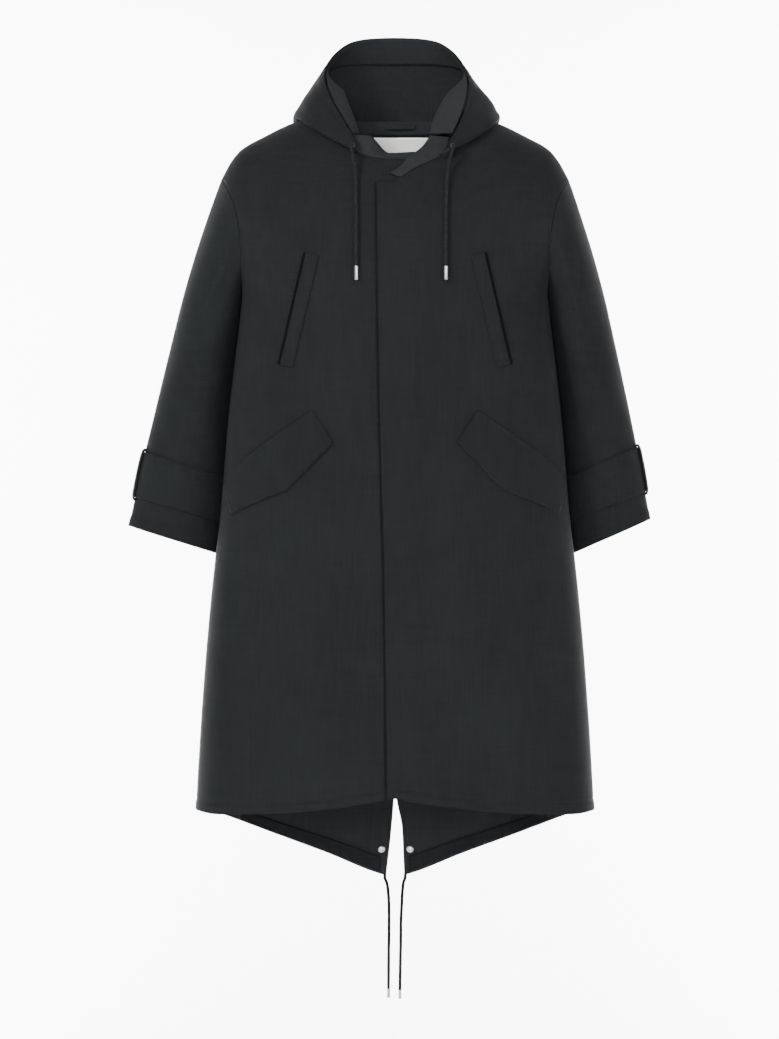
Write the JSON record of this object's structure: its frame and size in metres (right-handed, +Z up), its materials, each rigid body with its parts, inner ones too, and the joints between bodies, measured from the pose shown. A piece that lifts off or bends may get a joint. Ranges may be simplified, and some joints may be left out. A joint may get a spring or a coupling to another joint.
{
  "type": "parka",
  "caption": "Knee-length hooded parka with a fishtail back, hidden front closure, slanted pockets, strapped cuffs and drawcords.",
  "frame": {"origin": "middle of the neck opening, level with the back neck seam, where the wearer's shoulders hold the garment", "axes": "+X towards the wearer's left, +Y towards the wearer's back, +Z up"},
  "size_m": [0.84, 0.3323, 1.5648],
  "materials": {
    "shell_cloth": "dense matt woven cloth, near black",
    "drawcord": "braided cord, near black",
    "fitting_metal": "satin silver metal",
    "label_cloth": "plain white woven label"
  },
  "bodies": {
    "root": {"left_front": "shell_cloth", "right_front": "shell_cloth", "back_left": "shell_cloth", "back_right": "shell_cloth", "left_top_sleeve": "shell_cloth", "left_under_sleeve": "shell_cloth", "right_top_sleeve": "shell_cloth", "right_under_sleeve": "shell_cloth", "left_cuff_strap": "shell_cloth", "left_strap_keeper": "shell_cloth", "right_cuff_strap": "shell_cloth", "right_strap_keeper": "shell_cloth", "left_pocket_flap": "shell_cloth", "right_pocket_flap": "shell_cloth", "left_chest_welt": "shell_cloth", "right_chest_welt": "shell_cloth", "hood_right": "shell_cloth", "hood_center": "shell_cloth", "hood_left": "shell_cloth", "hood_facing": "shell_cloth", "neck_band": "shell_cloth", "hanger_loop": "shell_cloth", "collar_left": "shell_cloth", "collar_right": "shell_cloth", "tail_facing_left": "shell_cloth", "tail_facing_right": "shell_cloth", "hood_cord_left": "drawcord", "hood_cord_right": "drawcord", "tail_cord_left": "drawcord", "tail_cord_right": "drawcord", "hood_eyelet_left": "fitting_metal", "hood_eyelet_right": "fitting_metal", "tail_snap_left": "fitting_metal", "tail_snap_right": "fitting_metal", "hood_cord_tip_left": "fitting_metal", "hood_cord_tip_right": "fitting_metal", "tail_cord_tip_left": "fitting_metal", "tail_cord_tip_right": "fitting_metal", "neck_label": "label_cloth"}
  },
  "joints": []
}
